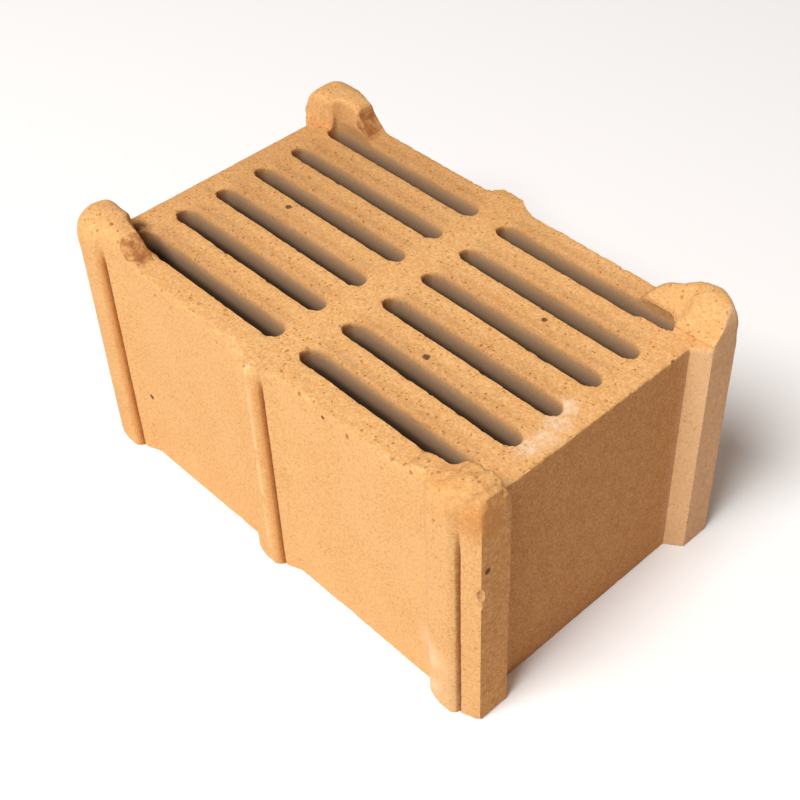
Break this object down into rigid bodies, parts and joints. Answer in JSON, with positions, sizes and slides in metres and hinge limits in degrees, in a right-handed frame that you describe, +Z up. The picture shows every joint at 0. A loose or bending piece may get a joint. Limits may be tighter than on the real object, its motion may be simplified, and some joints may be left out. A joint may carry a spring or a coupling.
{
  "type": "refractory checker brick",
  "caption": "Fired clay regenerator checker brick with rows of through slots, corner lugs above the deck, recessed ends and grooved spacer ribs on its long sides.",
  "frame": {"origin": "centre of the footprint at the level of the underside", "axes": "+X along the length, +Y across the width, +Z up, as the brick stands in use with its lugs upwards"},
  "size_m": [0.329, 0.211, 0.178],
  "materials": {
    "fired_clay": "matte"
  },
  "bodies": {
    "root": {"checker_brick": "fired_clay"}
  },
  "joints": []
}
